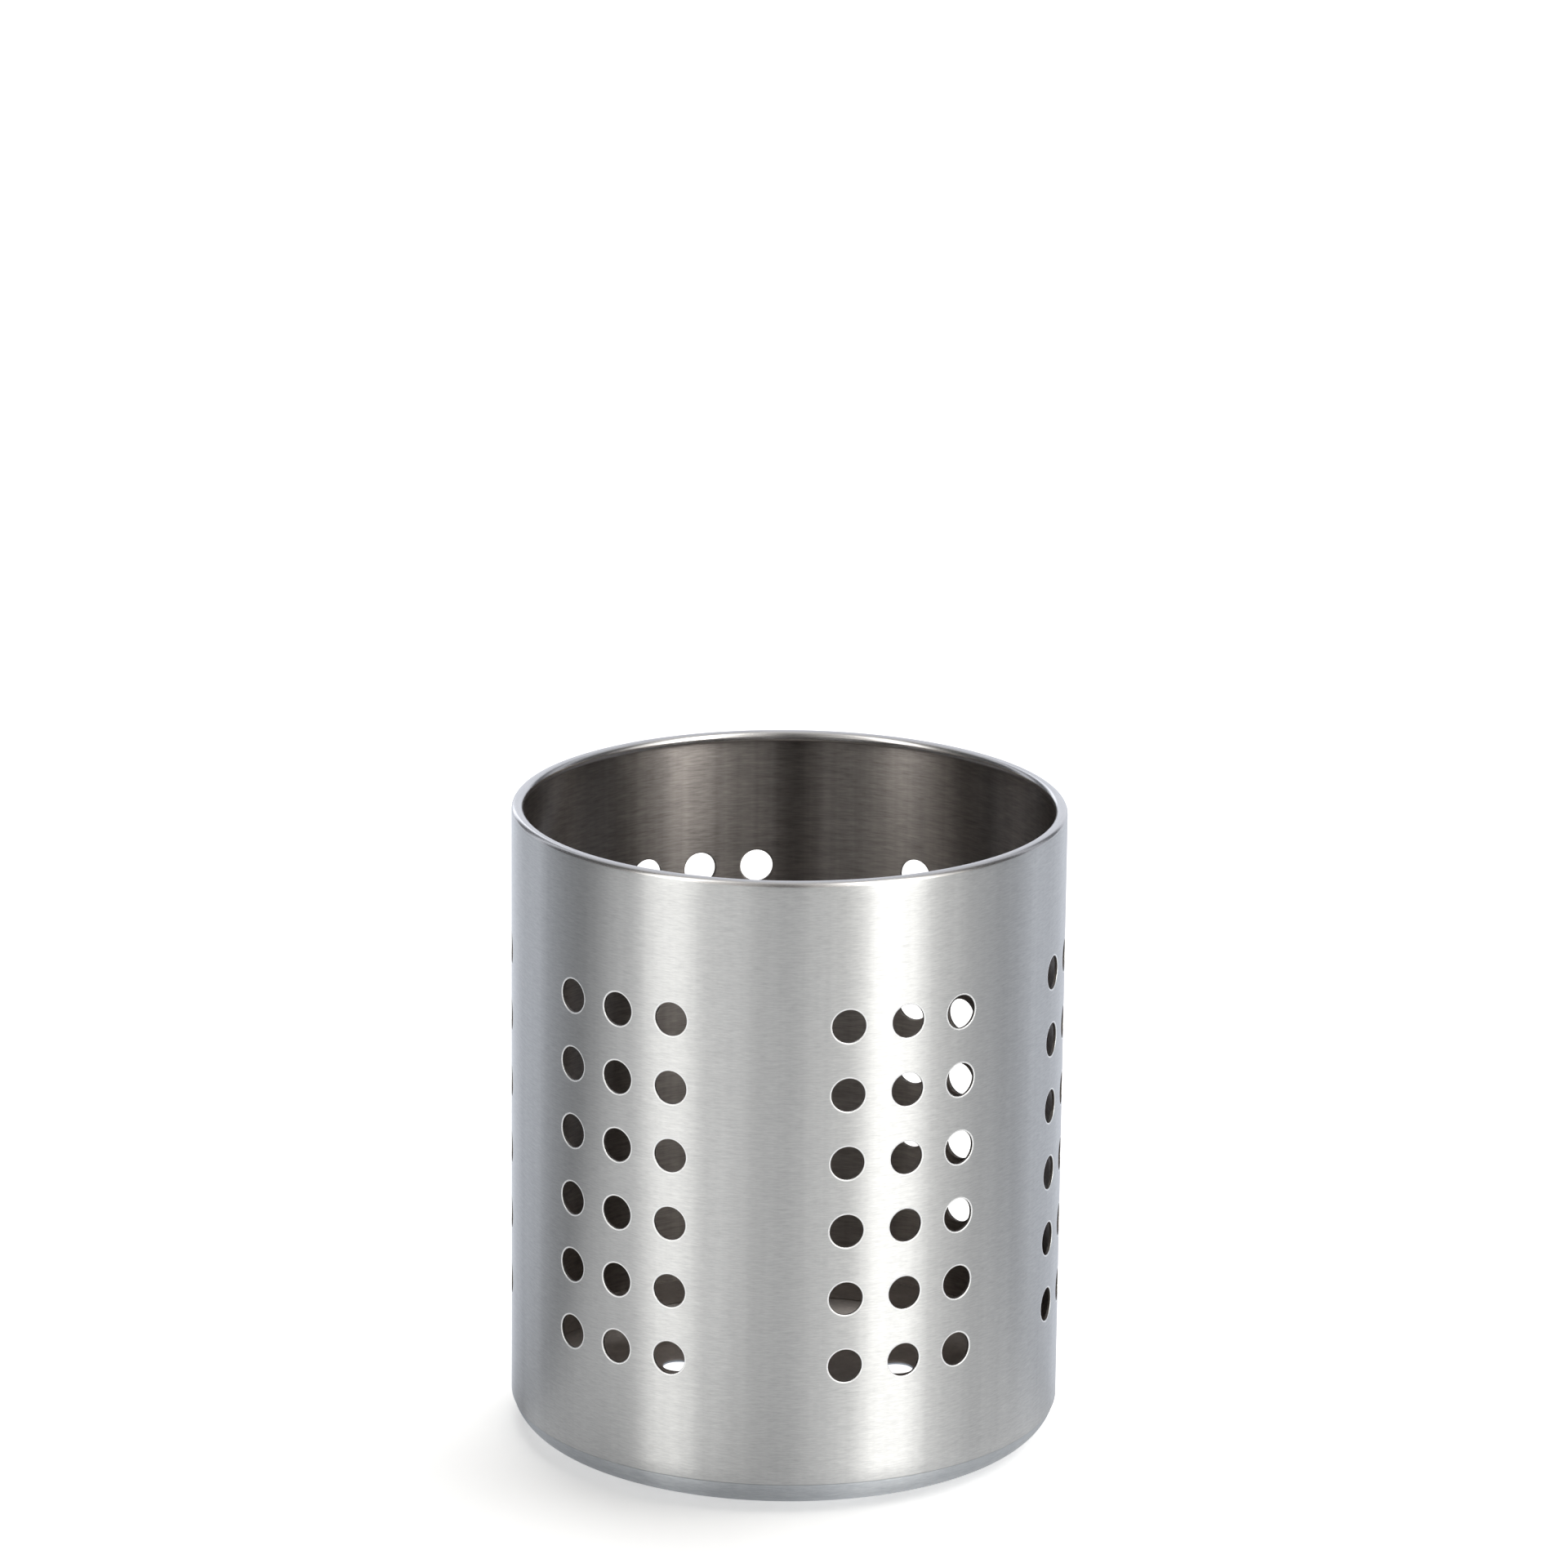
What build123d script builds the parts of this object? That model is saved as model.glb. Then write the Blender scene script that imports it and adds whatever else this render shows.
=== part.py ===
from build123d import *
from math import cos, degrees, radians, sin, sqrt
import os

# Perforated stainless steel utensil holder, free standing, open at the top.
# The origin is the middle of the foot, on the surface that the holder stands on.
# The front is towards -Y. Angles are in degrees round the axis, from the front towards +X.

# Driving dimensions, in millimetres and degrees
body_diameter = 120.0  # outside of the wall
body_height = 140.0  # from the standing surface to the top of the rolled rim
wall_sheet = 0.7  # thickness of the rolled wall
pan_sheet = 0.7  # thickness of the drawn base pan
rim_roll_radius = 1.3  # outside radius of the edge that is rolled inwards
rim_roll_turn = 270.0  # how far round that edge is rolled
foot_radius = 7.8  # outside corner radius of the base pan
contact_ring_width = 6.0  # flat ring that the holder stands on
panel_rise = 1.0  # how far the middle of the base stands above that ring
seam_inset = 0.3  # how far the corner of the pan has turned in where the wall ends
lap_height = 5.0  # how far the lip of the base pan stands up inside the wall
lap_clearance = 0.05  # between that lip and the wall, on the radius
base_weld_recess = 0.1  # how far the base weld is dressed back behind the wall
side_weld_width = 1.0  # the seam that closes the rolled wall

hole_diameter = 7.3  # punched holes of the wall
columns_per_block = 3
rows_per_block = 6
column_pitch = 13.2  # between columns of holes, measured round the outside
row_pitch = 15.1
lowest_row_height = 32.8
block_angles = (-36.7, 25.1, 84.0, 138.9, 199.7, 262.0)  # middle column of each block of holes

drain_diameter = 7.2  # holes in the base
drain_count = 4
drain_circle_radius = 34.5
first_drain_angle = 45.0
drain_circle_middle = (0.9, -0.6)  # the circle of drain holes is punched a little off the axis

# Sizes that follow from them
body_radius = body_diameter / 2
contact_outer_radius = body_radius - foot_radius
contact_inner_radius = contact_outer_radius - contact_ring_width
lip_radius = body_radius - wall_sheet - lap_clearance
shoulder_radius = body_radius - seam_inset
shoulder_height = foot_radius - sqrt(2 * foot_radius * seam_inset - seam_inset**2)
wall_foot_height = shoulder_height + shoulder_radius - lip_radius
column_angle = degrees(column_pitch / body_radius)
side_seam_angle = (block_angles[2] + block_angles[3]) / 2  # in the narrowest plain band
side_weld_angle = degrees(side_weld_width / body_radius)


def upright_plane(angle):
    """Plane through the axis whose x runs outwards at that angle and whose y runs up."""
    outwards = Vector(sin(radians(angle)), -cos(radians(angle)), 0)
    return Plane(origin=(0, 0, 0), x_dir=outwards, z_dir=outwards.cross(Vector(0, 0, 1)))


def facing_plane(angle):
    """Plane through the axis that looks outwards at that angle, with its y running up."""
    outwards = Vector(sin(radians(angle)), -cos(radians(angle)), 0)
    return Plane(origin=(0, 0, 0), x_dir=Vector(0, 0, 1).cross(outwards), z_dir=outwards)


def wall_section(angle):
    """Section of the wall sheet: straight up from the base seam, then rolled inwards at the rim."""
    roll_centre = (body_radius - rim_roll_radius, body_height - rim_roll_radius)
    with BuildSketch(upright_plane(angle)) as section:
        with BuildLine():
            outer_roll = CenterArc(roll_centre, rim_roll_radius, 0, rim_roll_turn)
            inner_roll = CenterArc(roll_centre, rim_roll_radius - wall_sheet, 0, rim_roll_turn)
            Line(outer_roll @ 1, inner_roll @ 1)
            outer_foot = (body_radius, wall_foot_height)
            inner_foot = (body_radius - wall_sheet, wall_foot_height)
            Polyline(outer_roll @ 0, outer_foot, inner_foot, inner_roll @ 0)
        make_face()
    return section.sketch


# Wall: one punched sheet, rolled into a tube, with its top edge rolled inwards
with BuildPart() as perforated_wall:
    wall_profile = wall_section(side_seam_angle + side_weld_angle / 2)
    revolve(wall_profile, axis=Axis.Z, revolution_arc=360 - side_weld_angle)
    for block_angle in block_angles:
        for column in range(columns_per_block):
            column_offset = (column - (columns_per_block - 1) / 2) * column_angle
            with BuildSketch(facing_plane(block_angle + column_offset)):
                with Locations((0, lowest_row_height + (rows_per_block - 1) * row_pitch / 2)):
                    with GridLocations(0, row_pitch, 1, rows_per_block):
                        Circle(hole_diameter / 2)
            extrude(amount=body_radius + wall_sheet, mode=Mode.SUBTRACT)

# Side seam: the weld that closes the tube, dressed flush with the sheet on both faces
with BuildPart() as side_seam_weld:
    seam_profile = wall_section(side_seam_angle - side_weld_angle / 2)
    revolve(seam_profile, axis=Axis.Z, revolution_arc=side_weld_angle)

# Base pan: drawn sheet with a raised panel, a contact ring, a round corner and a lip inside the wall
with BuildPart() as base_pan:
    with BuildSketch(Plane.XZ):
        with BuildLine():
            panel = Line((0, panel_rise), (contact_inner_radius - panel_rise, panel_rise))
            step = Line(panel @ 1, (contact_inner_radius, 0))
            ring = Line(step @ 1, (contact_outer_radius, 0))
            corner_centre = (contact_outer_radius, foot_radius)
            shoulder = (shoulder_radius, shoulder_height)
            corner = RadiusArc(ring @ 1, shoulder, -foot_radius)
            joggle = Line(corner @ 1, (lip_radius, wall_foot_height))
            Line(joggle @ 1, (lip_radius, wall_foot_height + lap_height))
            offset(amount=pan_sheet, side=Side.LEFT)
        make_face()
    revolve(axis=Axis.Z)
    with BuildSketch(Plane(drain_circle_middle)):
        with PolarLocations(drain_circle_radius, drain_count, first_drain_angle):
            Circle(drain_diameter / 2)
    extrude(amount=panel_rise + 2 * pan_sheet, mode=Mode.SUBTRACT)

# Base seam: the weld that fills the corner between the wall's foot and the pan
with BuildPart() as base_seam_weld:
    with BuildSketch(Plane.XZ):
        with BuildLine():
            weld_top = (body_radius - base_weld_recess, wall_foot_height)
            Polyline((shoulder_radius, shoulder_height), weld_top, (lip_radius, wall_foot_height), close=True)
        make_face()
    revolve(axis=Axis.Z)

pieces = {
    "perforated_wall": perforated_wall,
    "side_seam_weld": side_seam_weld,
    "base_pan": base_pan,
    "base_seam_weld": base_seam_weld,
}
os.makedirs("parts", exist_ok=True)
for name, piece in pieces.items():
    piece.part.label = name
    export_step(piece.part, f"parts/{name}.step")
    print(name, round(piece.part.volume, 1), piece.part.bounding_box())
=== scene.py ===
import bpy
import numpy as np
from math import cos, pi, radians, sin
from mathutils import Matrix, Vector


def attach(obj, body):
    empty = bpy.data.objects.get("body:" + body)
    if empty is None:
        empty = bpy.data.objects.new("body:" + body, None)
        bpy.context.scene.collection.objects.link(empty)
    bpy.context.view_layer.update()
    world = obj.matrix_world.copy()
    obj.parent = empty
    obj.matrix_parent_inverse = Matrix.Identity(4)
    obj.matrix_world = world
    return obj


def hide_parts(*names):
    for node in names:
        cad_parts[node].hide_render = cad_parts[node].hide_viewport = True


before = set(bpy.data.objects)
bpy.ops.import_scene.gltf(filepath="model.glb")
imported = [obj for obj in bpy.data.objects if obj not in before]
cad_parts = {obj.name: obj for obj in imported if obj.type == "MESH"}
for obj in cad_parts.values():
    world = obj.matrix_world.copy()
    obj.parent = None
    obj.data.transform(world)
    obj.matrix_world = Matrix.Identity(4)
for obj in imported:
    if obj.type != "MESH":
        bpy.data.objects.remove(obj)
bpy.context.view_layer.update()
print("frame loaded, nodes:", ", ".join(sorted(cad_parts)))

scene = bpy.context.scene
scene.view_settings.view_transform = "Standard"
mm = 0.001  # every length below is in millimetres


# Small helpers for meshes

def ringPoint(angle, radius, height):
    # a point at an angle round the axis, counted from the front (-Y) towards +X
    angle, radius, height = np.broadcast_arrays(angle, radius, height)
    return np.stack([radius * np.sin(angle), -radius * np.cos(angle), height], axis=-1)


def gridFaces(rows, columns, start=0, flip=False):
    # quads of a grid of points stored row by row; each quad runs right, then up
    i, j = np.meshgrid(np.arange(columns - 1), np.arange(rows - 1))
    a = start + j * columns + i
    quads = np.stack([a, a + 1, a + columns + 1, a + columns], axis=-1)
    return quads[..., ::-1] if flip else quads


def edgeStrips(rows, columns):
    # strips that close a sheet whose inner points are stored after its outer ones: foot, top and both sides
    inner, top, last = rows * columns, (rows - 1) * columns, columns - 1
    k, j = np.arange(columns - 1), np.arange(rows - 1) * columns
    foot = np.stack([k + 1, k, k + inner, k + 1 + inner], axis=1)
    edge = np.stack([k, k + 1, k + 1 + inner, k + inner], axis=1) + top
    firstSide = np.stack([j, j + columns, j + columns + inner, j + inner], axis=1)
    lastSide = np.stack([j + columns, j, j + inner, j + columns + inner], axis=1) + last
    return [foot, edge, firstSide, lastSide]


def ringFaces(rings, around):
    # quads between closed rings of points, and the ring that each quad starts from
    r, m = np.meshgrid(np.arange(rings - 1), np.arange(around), indexing="ij")
    beside = (m + 1) % around
    here, further = r * around, (r + 1) * around
    quads = np.stack([here + m, here + beside, further + beside, further + m], axis=-1)
    return quads.reshape(-1, 4), r.ravel()


def squareRound(steps):
    # points round a square from its lower left corner, and the angles of the matching points of a circle
    side, far = np.linspace(-1, 1, steps + 1)[:-1], np.ones(steps)
    across = np.concatenate([side, far, -side, -far])
    up = np.concatenate([-far, side, far, -side])
    return across, up, np.radians(np.linspace(-135, 225, 4 * steps, endpoint=False))


def buildPiece(name, points, quads, slots=None, materials=(), sharp=40):
    # merges points that coincide, drops corners that fall together, and makes the object in metres
    points, quads = np.concatenate(points), np.concatenate(quads)
    keys = np.round(points * 1e4).astype(np.int64)
    _, first, index = np.unique(keys, axis=0, return_index=True, return_inverse=True)
    quads = index.reshape(-1)[quads]
    repeated = quads == np.roll(quads, 1, axis=1)
    whole = ~repeated.any(axis=1)
    triangles = quads[~whole][~repeated[~whole]].reshape(-1, 3)
    mesh = bpy.data.meshes.new(name)
    mesh.from_pydata((points[first] * mm).tolist(), [], quads[whole].tolist() + triangles.tolist())
    for material in materials:
        mesh.materials.append(material)
    if slots is not None:
        slots = np.concatenate(slots)
        slots = np.concatenate([slots[whole], slots[~whole]]).astype(np.int32)
        mesh.polygons.foreach_set("material_index", slots)
    mesh.shade_smooth()
    mesh.set_sharp_from_angle(angle=radians(sharp))
    piece = bpy.data.objects.new(name, mesh)
    scene.collection.objects.link(piece)
    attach(piece, "root")
    print("made", name, "with", 2 * int(whole.sum()) + len(triangles), "triangles")
    return piece


# Materials

def linearColour(hexCode):
    # an sRGB hex colour as linear red, green, blue and a full alpha
    values = [int(hexCode[i:i + 2], 16) / 255 for i in (1, 3, 5)]
    return [v / 12.92 if v <= 0.04045 else ((v + 0.055) / 1.055) ** 2.4 for v in values] + [1.0]


def addNode(tree, kind, inputs=None, **settings):
    # one node with its settings; an input takes a value, or a socket to link from
    node = tree.nodes.new("ShaderNode" + kind)
    for key, value in settings.items():
        setattr(node, key, value)
    for key, value in (inputs or {}).items():
        if isinstance(value, bpy.types.NodeSocket):
            tree.links.new(value, node.inputs[key])
        else:
            node.inputs[key].default_value = value
    return node


brushDepth = 0.02  # of the deepest lines of the brushing


def brushedSteel(name, look):
    # stainless steel brushed round the axis: layers of fine grain set its colour, roughness and bump, and
    # highlights are drawn out along the axis, square to the lines
    material = bpy.data.materials.new(name)
    material.use_nodes = True
    tree = material.node_tree
    tree.nodes.clear()
    place = addNode(tree, "TexCoord").outputs["Object"]
    grain = 0.0
    for tall, long, detail, share in look["brushing"]:
        scale = (1 / (long * mm), 1 / (long * mm), 1 / (tall * mm))
        stretch = addNode(tree, "Mapping", {"Vector": place, "Scale": scale}).outputs[0]
        fine = {"Vector": stretch, "Scale": 1.0, "Detail": detail, "Roughness": 0.6}
        noise = addNode(tree, "TexNoise", fine).outputs[0]
        grain = addNode(tree, "Math", {0: noise, 1: share, 2: grain}, operation="MULTIPLY_ADD").outputs[0]
    usual = {"Value": grain, "From Min": 0.3, "From Max": 0.7}  # the noise is nearly always between these
    tone = addNode(tree, "MapRange", usual).outputs[0]
    shades = {0: tone, 6: linearColour(look["dark"]), 7: linearColour(look["light"])}
    colour = addNode(tree, "Mix", shades, data_type="RGBA").outputs[2]
    smooth, dull = look["roughness"]
    rough = addNode(tree, "MapRange", usual | {"To Min": smooth, "To Max": dull}).outputs[0]
    relief = {"Strength": look["bump"], "Distance": brushDepth * mm, "Height": grain}
    bump = addNode(tree, "Bump", relief).outputs[0]
    around = addNode(tree, "VectorMath", {0: place, 1: (0, 0, 1)}, operation="CROSS_PRODUCT").outputs[0]
    steel = addNode(tree, "BsdfPrincipled", {
        "Base Color": colour, "Metallic": 1.0, "Roughness": rough, "Normal": bump,
        "Anisotropic": look["anisotropy"], "Anisotropic Rotation": 0.25, "Tangent": around})
    addNode(tree, "OutputMaterial", {"Surface": steel.outputs[0]})
    return material


# Brushing is layers of grain. Each gives how tall and how long its marks are, in millimetres, how many finer
# octaves it has, and its share. Real belt lines are a few hundredths of a millimetre apart, too fine to show,
# so they are drawn coarser here. A layer taller than it is long is the sheet's faint upright waves from
# forming: its bump is the waves, and the light and dark upright bands it gives the colour are painted
# reflection.

# Outside of the wall: stainless steel sheet, brushed round the axis with a fine belt before it was rolled;
# hair-fine level lines, and each bright or dark thing round it is drawn out into an upright band.
wallLook = dict(
    dark="#C4C4C3", light="#E2E2E0", roughness=(0.32, 0.34), anisotropy=1.0, bump=0.06,
    brushing=((0.24, 1.8, 2, 0.53), (0.6, 5, 1, 0.22), (200, 3.5, 3, 0.25)))
brushedWall = brushedSteel("brushedStainlessSteelOutside", wallLook)

# Rims of the punched holes: stainless steel, deburred and rounded. The near-white colour is a painted
# highlight, a thin pale ring that looks the same from all sides.
edgeHighlightLook = dict(
    dark="#FAFAF8", light="#FFFFFD", roughness=(0.38, 0.46), anisotropy=0.0, bump=0.05,
    brushing=((0.3, 1, 1, 0.5), (0.8, 2, 1, 0.5)))
edgePaintedHighlight = brushedSteel("stainlessSteelEdgePaintedHighlight", edgeHighlightLook)

# Insides of the punched holes: stainless steel, sheared and torn by the punch, so dull and grainy. Their dark
# colour is painted shade inside the bore.
borePaintedShadeLook = dict(
    dark="#5A5552", light="#76706C", roughness=(0.5, 0.6), anisotropy=0.0, bump=0.1,
    brushing=((0.2, 0.3, 2, 0.6), (0.5, 0.6, 1, 0.4)))
borePaintedShade = brushedSteel("punchedStainlessSteelBorePaintedShade", borePaintedShadeLook)

# Inside of the wall: the sheet's other face, brushed more coarsely and not polished, with plainer lines and
# broad upright bands that are partly painted reflection. Its dark brownish grey is painted shade and a
# painted brown reflection.
insidePaintedShadeLook = dict(
    dark="#7D7875", light="#B4ADA8", roughness=(0.3, 0.35), anisotropy=0.97, bump=0.12,
    brushing=((0.3, 3, 2, 0.45), (0.8, 9, 1, 0.2), (200, 4, 3, 0.35)))
brushedInsidePaintedShade = brushedSteel("brushedStainlessSteelInsidePaintedShade", insidePaintedShadeLook)

# Rolled rim: the same steel, buffed along the edge after rolling; smoother than the wall, with thin clear
# highlights.
rimLook = dict(
    dark="#D2D0CF", light="#DDDAD8", roughness=(0.23, 0.26), anisotropy=0.3, bump=0.04,
    brushing=((0.25, 8, 2, 0.7), (0.6, 16, 1, 0.3)))
polishedRim = brushedSteel("polishedStainlessSteelRim", rimLook)

# Outside of the base pan: stainless steel, deep drawn and brushed on a lathe; satin. Its colour is a little
# bluer than the wall's, a painted cool reflection.
baseLook = dict(
    dark="#BEC2C6", light="#DADDDF", roughness=(0.36, 0.4), anisotropy=0.95, bump=0.06,
    brushing=((0.26, 2, 2, 0.55), (0.8, 5, 1, 0.25), (50, 3.5, 3, 0.2)))
satinBase = brushedSteel("satinStainlessSteelBase", baseLook)

# Inside of the base pan: stainless steel, left as the press drew it; dull, with a soft uneven sheen. Its
# darker brownish colour is painted shade and a painted brown reflection.
panPaintedShadeLook = dict(
    dark="#A19B97", light="#C4BEBA", roughness=(0.36, 0.46), anisotropy=0.3, bump=0.1,
    brushing=((0.3, 1.2, 2, 0.3), (0.8, 3, 2, 0.3), (6, 9, 3, 0.4)))
dullPanPaintedShade = brushedSteel("dullStainlessSteelPanPaintedShade", panPaintedShadeLook)

# Side seam: stainless steel weld, ground flush and brushed over; the wall's own look with slightly coarser
# lines.
weldLook = dict(
    dark="#C6C6C5", light="#DEDEDC", roughness=(0.36, 0.4), anisotropy=0.97, bump=0.1,
    brushing=((0.4, 2.5, 2, 0.6), (1.0, 6, 1, 0.4)))
dressedWeld = brushedSteel("dressedStainlessSteelWeld", weldLook)
print("materials made")


# Wall: one punched sheet, rolled into a tube, with its top edge rolled inwards

wall = dict(
    radius=60.0, height=140.0, sheet=0.7, footHeight=6.11, footRound=0.2, rollRadius=1.3, rollTurn=270,
    holeRadius=3.65, edgeRound=0.15, edgeRing=0.2, innerEdgeRound=0.12,
    columnPitch=13.2, rowPitch=15.1, lowestRow=32.8, columns=3, rows=6,
    blockAngles=(-36.7, 25.1, 84.0, 138.9, 199.7, 262.0), seamAngle=111.45, seamWidth=1.0,
    cellSteps=10, lowerSteps=6, upperSteps=8, rollSteps=22, seamSteps=4,  # how finely each stretch is divided
    firstBandSteps=7, bandStep=0.035)  # the same for the plain bands; the step is in radians
slightRound = np.array([0.0, 0.3, 1.0])  # three points of a small rounding, as shares of its size
outsideSlot, insideSlot, rimSlot, edgeSlot, boreSlot = range(5)
closingSlots = (outsideSlot, rimSlot, outsideSlot, outsideSlot)  # of the strips at foot, top and both sides


def wallProfile(w):
    # outer and inner face, each as radius and height: up from the foot, whose corners are rounded, then round
    # the rim's arc
    zFirst = w["lowestRow"] - w["rowPitch"] / 2
    zLast = zFirst + w["rows"] * w["rowPitch"]
    zRoll = w["height"] - w["rollRadius"]
    straight = np.concatenate([
        w["footHeight"] + w["footRound"] * slightRound,
        np.linspace(w["footHeight"] + w["footRound"], zFirst, w["lowerSteps"] + 1)[1:],
        np.linspace(zFirst, zLast, w["rows"] * w["cellSteps"] + 1)[1:],
        np.linspace(zLast, zRoll, w["upperSteps"] + 1)[1:-1]])
    turn = np.radians(np.linspace(0, w["rollTurn"], w["rollSteps"] + 1))
    sides = []
    for depth, inwards in ((0.0, 1), (w["sheet"], -1)):
        radius = np.full(len(straight), w["radius"] - depth)
        radius[:len(slightRound)] -= inwards * w["footRound"] * slightRound[::-1]
        roll = w["rollRadius"] - depth
        rollRadii = w["radius"] - w["rollRadius"] + roll * np.cos(turn)
        sides.append((np.append(radius, rollRadii), np.append(straight, zRoll + roll * np.sin(turn))))
    return sides


def wallColumns(w):
    # angles of the wall's lines of points, from one side of the seam round to the other; the angle of each
    # column of holes; and which of the spaces between the lines belong to holes
    seam, halfSeam = radians(w["seamAngle"]), w["seamWidth"] / w["radius"] / 2
    columnAngle, across = w["columnPitch"] / w["radius"], w["columns"] * w["cellSteps"]
    blocks = seam + np.sort((np.radians(w["blockAngles"]) - seam) % (2 * pi))
    middles = blocks[:, None] + columnAngle * (np.arange(w["columns"]) - (w["columns"] - 1) / 2)
    starts, ends = middles[:, 0] - columnAngle / 2, middles[:, -1] + columnAngle / 2
    lines = [np.linspace(seam + halfSeam, starts[0], w["firstBandSteps"] + 1)]
    isHole = [np.zeros(w["firstBandSteps"], bool)]
    for start, end, stop in zip(starts, ends, np.append(starts[1:], seam + 2 * pi - halfSeam)):
        steps = int(np.ceil((stop - end) / w["bandStep"]))
        lines += [np.linspace(start, end, across + 1)[1:], np.linspace(end, stop, steps + 1)[1:]]
        isHole += [np.ones(across, bool), np.zeros(steps, bool)]
    return np.concatenate(lines), middles.ravel(), np.concatenate(isHole)


def holeCell(w):
    # one hole with the sheet round it, as rings from the cell's edge in to the hole and back out on the inner
    # face; a ring is a mix of the cell's square and a circle round the hole, bent to the wall's radius, and
    # each space between two rings has its slot
    across, up, turn = squareRound(w["cellSteps"])
    halfAngle, halfHeight = w["columnPitch"] / w["radius"] / 2, w["rowPitch"] / 2
    bend = np.radians(np.linspace(0, 90, 5))
    outerEdge, innerEdge = w["holeRadius"] + w["edgeRound"], w["holeRadius"] + w["innerEdgeRound"]
    outerBend = [outerEdge - w["edgeRound"] * np.sin(bend), w["edgeRound"] * (1 - np.cos(bend))]
    innerBend = [
        innerEdge - w["innerEdgeRound"] * np.cos(bend[::2]),
        w["sheet"] - w["innerEdgeRound"] * (1 - np.sin(bend[::2]))]
    toCircle = np.array([0.0, 0.45, 0.75, 0.93])  # how far each plain ring has gone from square to circle
    plain, bent = len(toCircle), len(bend)
    outerFlat = [np.full(plain + 1, outerEdge + w["edgeRing"]), np.zeros(plain + 1)]
    innerFlat = [np.full(plain, innerEdge), np.full(plain, w["sheet"])]
    radii, depths = np.hstack([outerFlat, outerBend, innerBend, innerFlat])[:, :, None]
    share = np.concatenate([toCircle, np.ones(len(radii) - 2 * plain), toCircle[::-1]])[:, None]
    angle = np.arcsin(radii * np.cos(turn) / (w["radius"] - depths))
    angle = share * angle + (1 - share) * across * halfAngle
    height = share * radii * np.sin(turn) + (1 - share) * up * halfHeight
    slots = np.repeat([outsideSlot, edgeSlot, boreSlot, insideSlot], [plain, bent - 1, bent - 2, plain + 1])
    return angle, w["radius"] - depths + 0 * angle, height, slots


def makeWall(w):
    # the outer and inner face as one grid each, with the hole cells set into the gaps that they leave
    theta, middles, isHole = wallColumns(w)
    profile = wallProfile(w)
    rows, columns = len(profile[0][0]), len(theta)
    firstRow = len(slightRound) - 1 + w["lowerSteps"]
    inRows = np.zeros(rows - 1, bool)
    inRows[firstRow:firstRow + w["rows"] * w["cellSteps"]] = True
    plain = ~(inRows[:, None] & isHole[None, :])
    points = [ringPoint(theta[None, :], r[:, None], z[:, None]).reshape(-1, 3) for r, z in profile]
    quads = [gridFaces(rows, columns)[plain], gridFaces(rows, columns, rows * columns, flip=True)[plain]]
    isRim = np.broadcast_to((np.arange(rows - 1) >= rows - w["rollSteps"])[:, None], plain.shape)[plain]
    slots = [np.where(isRim, rimSlot, outsideSlot), np.where(isRim, rimSlot, insideSlot)]
    strips = edgeStrips(rows, columns)
    quads += strips
    slots += [np.full(len(strip), slot) for strip, slot in zip(strips, closingSlots)]
    # the hole cells, all from one pattern
    angle, radius, height, cellSlots = holeCell(w)
    cellQuads, ring = ringFaces(*angle.shape)
    rowHeights = w["lowestRow"] + w["rowPitch"] * np.arange(w["rows"])
    turns, lifts = [grid.ravel()[:, None, None] for grid in np.meshgrid(middles, rowHeights, indexing="ij")]
    points.append(ringPoint(turns + angle, radius[None], lifts + height).reshape(-1, 3))
    start = 2 * rows * columns + np.arange(len(turns)) * angle.size
    quads.append((start[:, None, None] + cellQuads).reshape(-1, 4))
    slots.append(np.tile(cellSlots[ring], len(turns)))
    return points, quads, slots


wallMaterials = (brushedWall, brushedInsidePaintedShade, polishedRim, edgePaintedHighlight, borePaintedShade)
wallPiece = buildPiece("perforatedWall", *makeWall(wall), materials=wallMaterials)
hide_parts("perforated_wall")


# Side seam: a narrow strip with the wall's own section

def makeSeam(w):
    # the wall's section carried through the seam's small angle, with both ends closed
    seam, half = radians(w["seamAngle"]), w["seamWidth"] / w["radius"] / 2
    theta = np.linspace(seam - half, seam + half, w["seamSteps"] + 1)
    profile = wallProfile(w)
    rows, columns = len(profile[0][0]), len(theta)
    points = [ringPoint(theta[None, :], r[:, None], z[:, None]).reshape(-1, 3) for r, z in profile]
    strips = edgeStrips(rows, columns)
    faces = [gridFaces(rows, columns), gridFaces(rows, columns, rows * columns, flip=True)]
    quads = [face.reshape(-1, 4) for face in faces] + strips
    isRim = np.repeat(np.arange(rows - 1) >= rows - w["rollSteps"], columns - 1)
    slots = [np.where(isRim, rimSlot, outsideSlot), np.where(isRim, rimSlot, insideSlot)]
    slots += [np.full(len(strip), slot) for strip, slot in zip(strips, closingSlots)]
    return points, quads, slots


seamPiece = buildPiece("sideSeamWeld", *makeSeam(wall), materials=(dressedWeld, brushedInsidePaintedShade, polishedRim))
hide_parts("side_seam_weld")


# Base pan: drawn sheet with a raised panel, a contact ring, a round corner and a lip inside the wall

base = dict(
    radius=60.0, sheet=0.7, cornerRadius=7.8, ringWidth=6.0, ringEnd=0.4, panelRise=1.0, seamInset=0.3,
    lipHeight=5.0, lipRadius=59.25, drainRadius=3.6, drainEdge=0.2, drainCircle=34.5, drainMiddle=(0.9, -0.6),
    drainCount=4, drainStart=45.0, cellHalf=8.0,
    stepPlaces=(-1.35, -1.0, -0.75, -0.25, 0.0, 0.35),  # of the step to the panel, from the ring's inner edge
    stepRises=(1.0, 0.93, 0.75, 0.25, 0.07, 0.0),  # and its heights, as shares of the panel's rise
    panelSteps=8, cellSteps=10, cornerSteps=16, bandSteps=40)  # how finely each stretch is divided
underSlot, panSlot = range(2)


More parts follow.
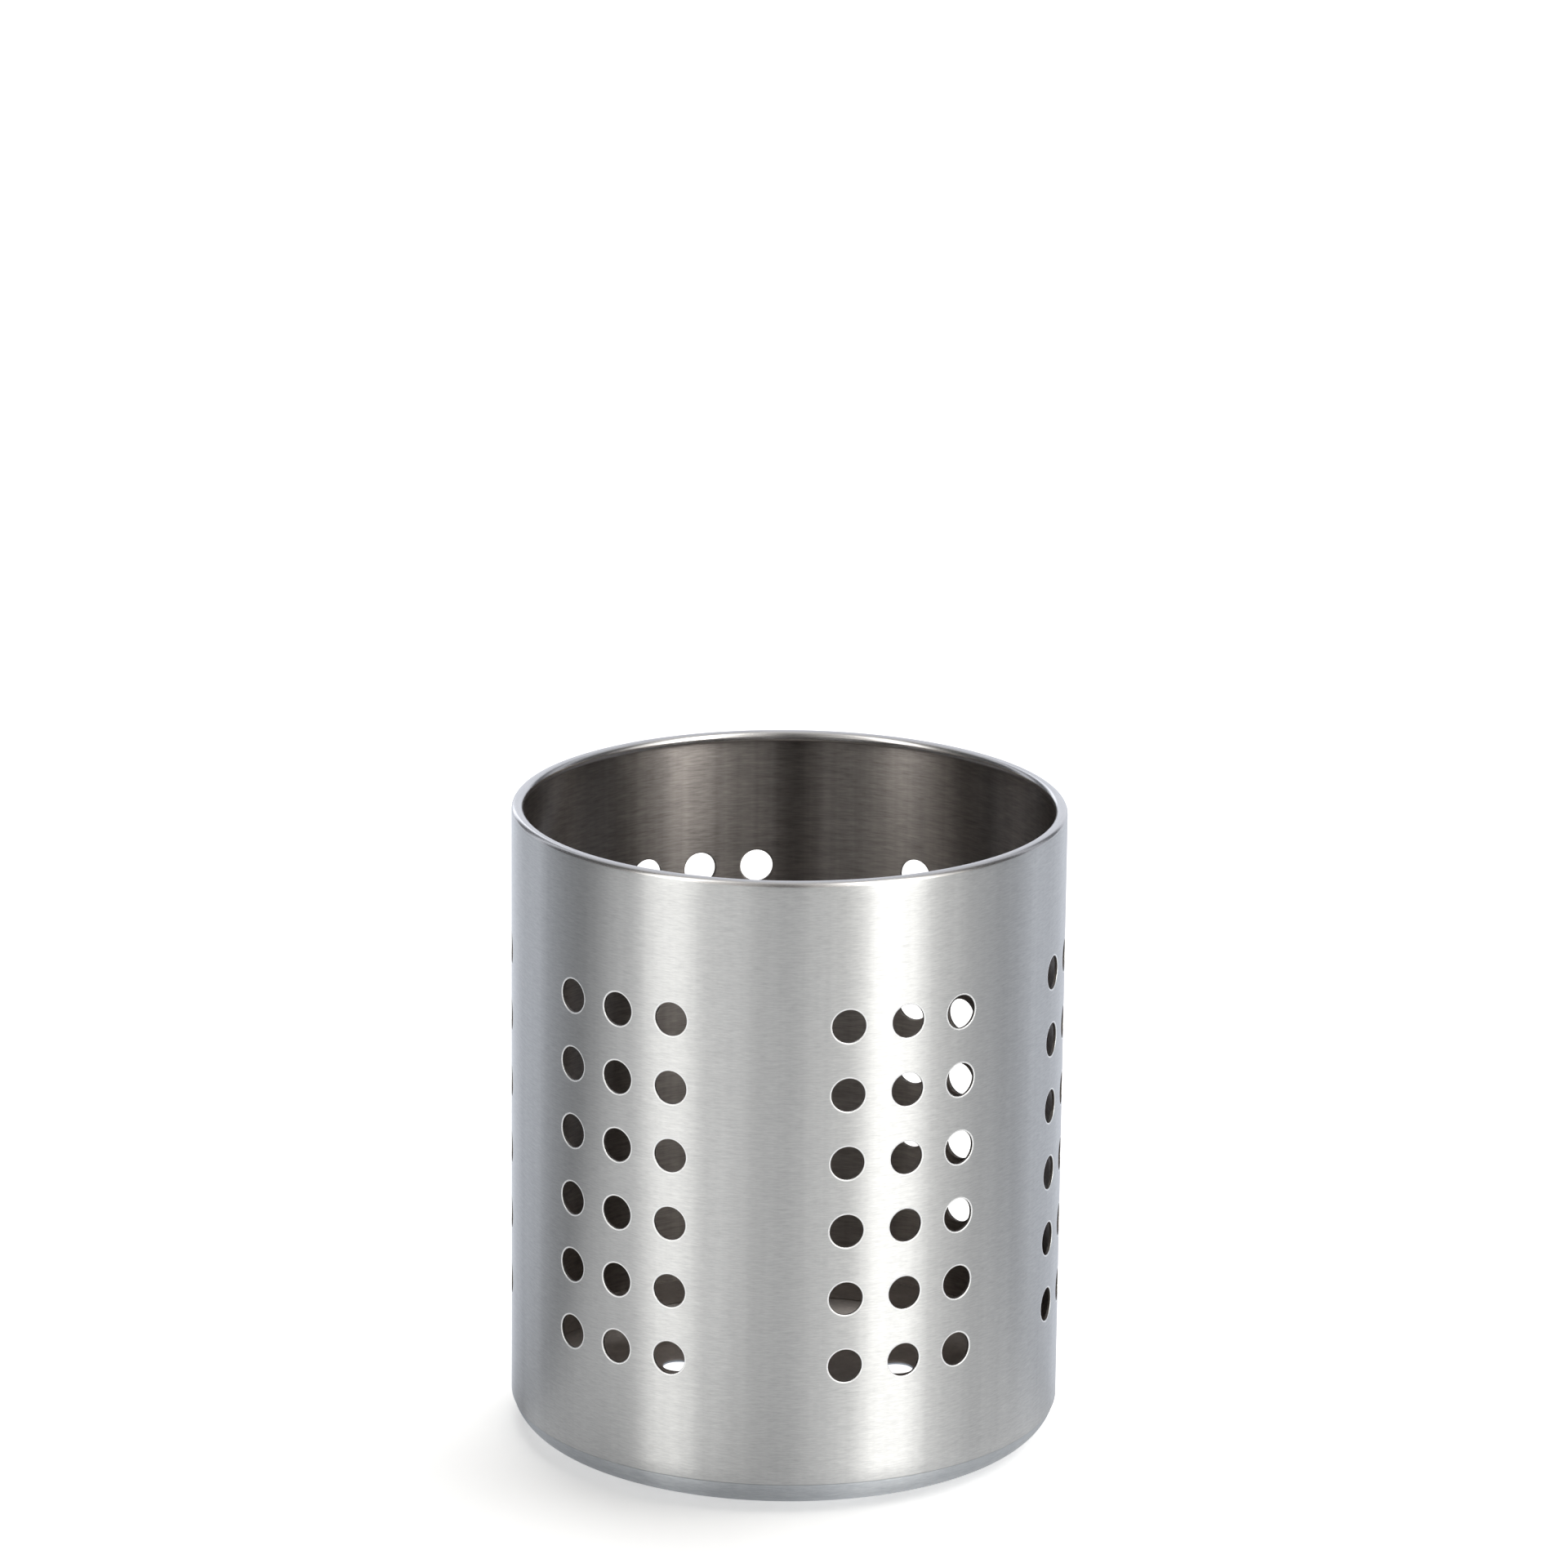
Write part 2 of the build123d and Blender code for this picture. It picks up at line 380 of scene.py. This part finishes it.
def cornerTop(b):
    # height at which the round corner has turned up to the seam
    return b["cornerRadius"] - np.sqrt(2 * b["cornerRadius"] * b["seamInset"] - b["seamInset"] ** 2)


def offsetLine(line, distance):
    # the line moved square to itself, to its left, as far as its own corners allow
    step = np.diff(line, axis=0)
    step /= np.linalg.norm(step, axis=1)[:, None]
    normal = np.stack([-step[:, 1], step[:, 0]], axis=1)
    mitre = np.vstack([normal[:1], normal]) + np.vstack([normal, normal[-1:]])
    mitre *= 2 / (mitre ** 2).sum(axis=1)[:, None]
    return line + distance * mitre


def baseProfile(b):
    # lower and upper face, each as radius and height: the panel, the step down to the ring, a quarter round
    # up to the seam, then the lip; the upper face is the lower one moved in by the sheet
    cornerStart = b["radius"] - b["cornerRadius"]
    ringStart = cornerStart - b["ringWidth"]
    near, far = b["drainCircle"] - b["cellHalf"], b["drainCircle"] + b["cellHalf"]
    stop = cornerTop(b)
    joggle = b["radius"] - b["seamInset"] - b["lipRadius"]
    turn = np.linspace(0, np.arccos((b["cornerRadius"] - stop) / b["cornerRadius"]), b["cornerSteps"] + 1)
    radius = np.concatenate([
        np.linspace(0, near, b["panelSteps"] + 1), np.linspace(near, far, b["cellSteps"] + 1)[1:],
        ringStart + np.array(b["stepPlaces"]), [cornerStart - b["ringEnd"]],
        cornerStart + b["cornerRadius"] * np.sin(turn),
        b["lipRadius"] + joggle * np.array([0.5, 0.0, 0.0, 0.0])])
    height = np.concatenate([
        np.full(b["panelSteps"] + 1 + b["cellSteps"], b["panelRise"]),
        b["panelRise"] * np.array(b["stepRises"]), [0.0],
        b["cornerRadius"] * (1 - np.cos(turn)),
        stop + joggle * np.array([0.5, 1.0, 2.0]), [stop + joggle + b["lipHeight"]]])
    under = np.stack([radius, height], axis=1)
    upper = offsetLine(under, b["sheet"])
    upper[0, 0] = 0.0
    return under, upper


def drainCells(b, middles):
    # the drain holes with the sheet round them: rings from the cell's edge in to the hole, through the sheet
    # and back out; the circle of holes has its middle off the axis, so each hole is a little off its cell
    across, out, around = squareRound(b["cellSteps"])
    toCircle = np.array([0.0, 0.45, 0.75])  # how far each plain ring has gone from square to circle
    share = np.concatenate([toCircle, np.ones(len(slightRound))])
    size = b["drainRadius"] + b["drainEdge"] * np.concatenate([np.ones(len(toCircle)), slightRound[::-1]])
    depth = b["drainEdge"] * np.concatenate([np.zeros(len(toCircle)), slightRound])
    share = np.concatenate([share, share[::-1]])[:, None]
    size = np.concatenate([size, size[::-1]])[:, None]
    depth = np.concatenate([depth, b["sheet"] - depth[::-1]])[:, None]
    turn, (moveX, moveY) = middles[:, None, None], b["drainMiddle"]
    beside = size * np.cos(around) + moveX * np.cos(turn) + moveY * np.sin(turn)
    beyond = b["drainCircle"] + size * np.sin(around) + moveX * np.sin(turn) - moveY * np.cos(turn)
    angle = share * np.arctan2(beside, beyond) + (1 - share) * across * b["cellHalf"] / b["drainCircle"]
    reach = share * np.hypot(beside, beyond) + (1 - share) * (b["drainCircle"] + out * b["cellHalf"])
    slots = np.repeat([underSlot, panSlot], [len(depth) // 2, len(depth) // 2 - 1])
    return turn + angle, reach, b["panelRise"] + depth, slots


def makeBase(b):
    # the lower and upper face as one grid each, with the drain cells set into the gaps that they leave
    faces = baseProfile(b)
    cellAngle, quarter = b["cellHalf"] / b["drainCircle"], 2 * pi / b["drainCount"]
    middles = radians(b["drainStart"]) + quarter * np.arange(b["drainCount"])
    cell = np.linspace(-cellAngle, cellAngle, b["cellSteps"] + 1)[:-1]
    band = np.linspace(cellAngle, quarter - cellAngle, b["bandSteps"] + 1)[:-1]
    theta = (middles[:, None] + np.concatenate([cell, band])).ravel()
    theta = np.append(theta, middles[0] - cellAngle + 2 * pi)
    isHole = np.tile(np.repeat([True, False], [len(cell), len(band)]), b["drainCount"])
    rows, columns = len(faces[0]), len(theta)
    inRows = np.zeros(rows - 1, bool)
    inRows[b["panelSteps"]:b["panelSteps"] + b["cellSteps"]] = True
    plain = ~(inRows[:, None] & isHole[None, :])
    points = [ringPoint(theta[None, :], face[:, :1], face[:, 1:]).reshape(-1, 3) for face in faces]
    quads = [gridFaces(rows, columns)[plain], gridFaces(rows, columns, rows * columns, flip=True)[plain]]
    quads.append(edgeStrips(rows, columns)[1])
    slots = [np.full(len(face), slot) for face, slot in zip(quads, (underSlot, panSlot, panSlot))]
    angle, reach, height, cellSlots = drainCells(b, middles)
    cellQuads, ring = ringFaces(*angle.shape[1:])
    points.append(ringPoint(angle, reach, height).reshape(-1, 3))
    start = 2 * rows * columns + np.arange(len(middles)) * angle[0].size
    quads.append((start[:, None, None] + cellQuads).reshape(-1, 4))
    slots.append(np.tile(cellSlots[ring], len(middles)))
    return points, quads, slots


basePiece = buildPiece("basePan", *makeBase(base), materials=(satinBase, dullPanPaintedShade))
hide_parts("base_pan")


# Base seam: the dressed weld between the wall's foot and the pan

# the hollow's points are each a distance behind the wall's face and a height above the corner's top
baseSeam = dict(recess=0.1, hollow=((0.28, 0.15), (0.22, 0.3)), steps=240)


def makeBaseSeam(s, b, w):
    # a small closed section, slightly hollow on its outer face, turned round the axis
    stop = cornerTop(b)
    outer = [(b["radius"] - inset, stop + lift) for inset, lift in s["hollow"]]
    first, last = (b["radius"] - b["seamInset"], stop), (b["radius"] - s["recess"], w["footHeight"])
    section = np.array([first, *outer, last, (b["lipRadius"], w["footHeight"]), first])
    theta = np.linspace(0, 2 * pi, s["steps"] + 1)
    points = ringPoint(theta[None, :], section[:, :1], section[:, 1:]).reshape(-1, 3)
    return [points], [gridFaces(len(section), len(theta)).reshape(-1, 4)]


baseSeamPiece = buildPiece("baseSeamWeld", *makeBaseSeam(baseSeam, base, wall), materials=(satinBase,))
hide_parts("base_seam_weld")


# Stage: a pale floor, a soft studio round it, and one soft lamp for the floor's shadow

# A panel is its angle round the object, half its width, its soft edge (degrees) and its strength. A pair in
# millimetres is where a change starts and ends, counted from the object's middle.
studio = dict(
    floorColour="#FFFEFC", floorHalf=6.0, floorGlow=0.45, paintedLightUnder=(46, 52),
    floorInMetal=0.35, backInMetal=0.07, backFrom=0.782,
    footInMetal=0.115, footShadow=(55, 150), contactInMetal=0.7, contactShadow=(58, 72),
    floorTint="#FCFDFF", frontTint="#FFFEFB", backTint="#F0F5FF",
    frontToBack=(-0.4, 0.6),  # share of a direction that points backwards
    floorPanels=(
        (-4, 13, 18, 0.52),      # lit floor in front
        (-51, 16, 24, 0.56),     # and at the front left
        (52, 27, 22, 0.43),      # and at the front right
        (170, 70, 40, 0.5)),     # broad and pale behind
    footShade=((-35, 20, 40, -0.54),),  # the object's own shadow, beside the foot
    ambient=0.12, base=0.1,
    overhead=(0.59, 0.805),  # its strength in front and behind
    overheadFrom=(0.79, 0.3), overheadTo=(1.0, 0.9),  # where it starts and is full, in front and behind
    panels=(
        (-50, 7.5, 7.5, 2.06),     # soft box, front left
        (46, 5, 11, 3.12),         # soft box, front right
        (-39, 18.5, 18.5, 0.55),   # glow round the left box
        (50.5, 17.5, 15.5, 1.22),  # glow round the right box
        (23, 14, 6, 0.51),         # dim panel, right of the middle
        (121, 6.5, 6, 0.5),        # strip at the right
        (-124.5, 5.5, 3, 0.82),    # strip at the left
        (-154, 4, 3, 1.47),        # narrow strip, back left
        (175, 29.5, 4, 0.87)),     # wide screen behind
    lampTurn=145, lampRise=45, lampAngle=90, lampPower=4.0)
soft = dict(interpolation_type="SMOOTHSTEP")  # of a change that starts and ends gently


def addPanels(tree, direction, base, panels):
    # a base level, plus each panel: full strength inside its half width, fading to none across its soft edge
    total = base
    for turn, half, edge, strength in panels:
        middle = (sin(radians(turn)), -cos(radians(turn)), 0)
        none, full = cos(radians(half + edge)), cos(radians(max(half - edge, 0)))
        facing = addNode(tree, "VectorMath", {0: direction, 1: middle}, operation="DOT_PRODUCT")
        glow = {0: facing.outputs["Value"], 1: none, 2: full, 3: 0.0, 4: strength}
        glow = addNode(tree, "MapRange", glow, **soft).outputs[0]
        total = addNode(tree, "Math", {0: total, 1: glow}, operation="ADD").outputs[0]
    return total


def makeFloor(s):
    # the camera sees it glow a little, so that it is white and its shadow pale, and glow fully under the
    # object, painted light that makes the drain holes look white; metal sees an even grey, darker close to
    # the foot and brighter behind the object
    mesh = bpy.data.meshes.new("floor")
    corners = s["floorHalf"] * np.array([[-1, -1, 0], [1, -1, 0], [1, 1, 0], [-1, 1, 0]])
    mesh.from_pydata(corners.tolist(), [], [[0, 1, 2, 3]])
    material = bpy.data.materials.new("whiteTableTop")
    material.use_nodes = True
    tree = material.node_tree
    tree.nodes.clear()
    path = addNode(tree, "LightPath")
    place = addNode(tree, "TexCoord").outputs["Object"]
    distance = addNode(tree, "VectorMath", {0: place}, operation="LENGTH").outputs["Value"]
    # under the object the floor glows fully: painted light, so that the drain holes look white
    start, end = [edge * mm for edge in s["paintedLightUnder"]]
    glow = addNode(tree, "MapRange", {0: distance, 1: start, 2: end, 3: 1.0, 4: s["floorGlow"]}).outputs[0]
    matt = addNode(tree, "BsdfDiffuse", {"Color": linearColour(s["floorColour"])}).outputs[0]
    pale = addNode(tree, "AddShader", {0: matt, 1: addNode(tree, "Emission", {"Strength": glow}).outputs[0]})
    direct = addNode(tree, "MixShader", {0: path.outputs["Is Camera Ray"], 1: matt, 2: pale.outputs[0]})
    direction = addNode(tree, "VectorMath", {0: place}, operation="NORMALIZE").outputs[0]
    level = addPanels(tree, direction, s["floorInMetal"], s["floorPanels"])
    behind = addNode(tree, "SeparateXYZ", {0: direction}).outputs[1]
    rise = {0: behind, 1: s["backFrom"], 2: 1.0, 3: 0.0, 4: s["backInMetal"]}
    back = addNode(tree, "MapRange", rise, **soft).outputs[0]
    level = addNode(tree, "Math", {0: level, 1: back}, operation="ADD").outputs[0]
    start, end = [edge * mm for edge in s["footShadow"]]
    near = addNode(tree, "MapRange", {0: distance, 1: start, 2: end, 3: 1.0, 4: 0.0}, **soft).outputs[0]
    foot = addPanels(tree, direction, s["footInMetal"], s["footShade"])
    share = addNode(tree, "Math", {0: near, 1: foot, 2: 1.0}, operation="MULTIPLY_ADD").outputs[0]
    level = addNode(tree, "Math", {0: level, 1: share}, operation="MULTIPLY").outputs[0]
    start, end = [edge * mm for edge in s["contactShadow"]]
    fade = {0: distance, 1: start, 2: end, 3: s["contactInMetal"], 4: 1.0}
    contact = addNode(tree, "MapRange", fade, **soft).outputs[0]
    level = addNode(tree, "Math", {0: level, 1: contact}, operation="MULTIPLY").outputs[0]
    start, end = s["frontToBack"]
    side = addNode(tree, "MapRange", {0: behind, 1: start, 2: end, 3: 0.0, 4: 1.0}, **soft).outputs[0]
    tints = {0: side, 6: linearColour(s["floorTint"]), 7: linearColour(s["backTint"])}
    tint = addNode(tree, "Mix", tints, data_type="RGBA").outputs[2]
    grey = addNode(tree, "Emission", {"Color": tint, "Strength": level}).outputs[0]
    seen = addNode(tree, "MixShader", {0: path.outputs["Is Glossy Ray"], 1: direct.outputs[0], 2: grey})
    addNode(tree, "OutputMaterial", {"Surface": seen.outputs[0]})
    material.cycles.emission_sampling = "NONE"  # its glow is only for the eye and for metal
    mesh.materials.append(material)
    floor = bpy.data.objects.new("floor", mesh)
    scene.collection.objects.link(floor)


def makeWorld(s):
    # metal sees soft upright panels at angles round the object; everything else sees an even pale light
    world = bpy.data.worlds.new("studio")
    scene.world = world
    world.use_nodes = True
    tree = world.node_tree
    tree.nodes.clear()
    path = addNode(tree, "LightPath")
    way = addNode(tree, "TexCoord").outputs["Generated"]
    level = addNode(tree, "VectorMath", {0: way, 1: (1, 1, 0)}, operation="MULTIPLY").outputs[0]
    level = addNode(tree, "VectorMath", {0: level}, operation="NORMALIZE").outputs[0]
    total = addPanels(tree, level, s["base"], s["panels"])
    place = addNode(tree, "SeparateXYZ", {0: way})
    start, end = s["frontToBack"]
    behind = {0: place.outputs[1], 1: start, 2: end, 3: 0.0, 4: 1.0}
    behind = addNode(tree, "MapRange", behind, **soft).outputs[0]
    frontAndBack = (s["overhead"], s["overheadFrom"], s["overheadTo"])
    overhead, first, full = [
        addNode(tree, "MapRange", {0: behind, 3: front, 4: back}).outputs[0] for front, back in frontAndBack]
    high = {0: place.outputs[2], 1: first, 2: full, 3: 0.0, 4: 1.0}
    high = addNode(tree, "MapRange", high, **soft).outputs[0]
    sky = addNode(tree, "Mix", {0: high, 2: total, 3: overhead}, data_type="FLOAT").outputs[0]
    tints = {0: behind, 6: linearColour(s["frontTint"]), 7: linearColour(s["backTint"])}
    tint = addNode(tree, "Mix", tints, data_type="RGBA").outputs[2]
    metal = addNode(tree, "Background", {"Color": tint, "Strength": sky}).outputs[0]
    white = addNode(tree, "MapRange", {0: path.outputs["Is Camera Ray"], 3: s["ambient"], 4: 1.0}).outputs[0]
    plain = addNode(tree, "Background", {"Color": (1, 1, 1, 1), "Strength": white}).outputs[0]
    seen = addNode(tree, "MixShader", {0: path.outputs["Is Glossy Ray"], 1: plain, 2: metal})
    addNode(tree, "OutputWorld", {"Surface": seen.outputs[0]})
    world.cycles.sampling_method = "NONE"  # so that metal sees only the panels


def makeLamp(s):
    # a wide soft lamp from the right and behind, which gives the floor its shadow; metal doesn't see it
    light = bpy.data.lights.new("softLamp", "SUN")
    light.angle, light.energy = radians(s["lampAngle"]), s["lampPower"]
    lamp = bpy.data.objects.new("softLamp", light)
    turn, rise = radians(s["lampTurn"]), radians(s["lampRise"])
    towards = Vector((sin(turn) * cos(rise), -cos(turn) * cos(rise), sin(rise)))
    lamp.rotation_euler = towards.to_track_quat("Z", "Y").to_euler()
    lamp.visible_glossy = False
    scene.collection.objects.link(lamp)


makeFloor(studio)
makeWorld(studio)
makeLamp(studio)
print("stage made")


# Camera: the photograph's view, with its place in millimetres and its turns in radians

view = dict(
    distance=1485.9, height=568.3, yaw=-0.00086, pitch=-0.27803, roll=0.01036, lens=164.61, sensor=36.0)


def makeCamera(v):
    # a camera that looks along its yaw and pitch, then rolled about that line
    ahead = Vector((sin(v["yaw"]) * cos(v["pitch"]), cos(v["yaw"]) * cos(v["pitch"]), sin(v["pitch"])))
    level = Vector((cos(v["yaw"]), -sin(v["yaw"]), 0))
    upright = level.cross(ahead)
    right = level * cos(v["roll"]) + upright * sin(v["roll"])
    up = upright * cos(v["roll"]) - level * sin(v["roll"])
    data = bpy.data.cameras.new("photographView")
    data.sensor_width, data.lens = v["sensor"], v["lens"]
    camera = bpy.data.objects.new("photographView", data)
    place = Matrix((right, up, -ahead)).transposed().to_4x4()
    place.translation = Vector((0, -v["distance"], v["height"])) * mm
    camera.matrix_world = place
    scene.collection.objects.link(camera)
    scene.camera = camera


makeCamera(view)
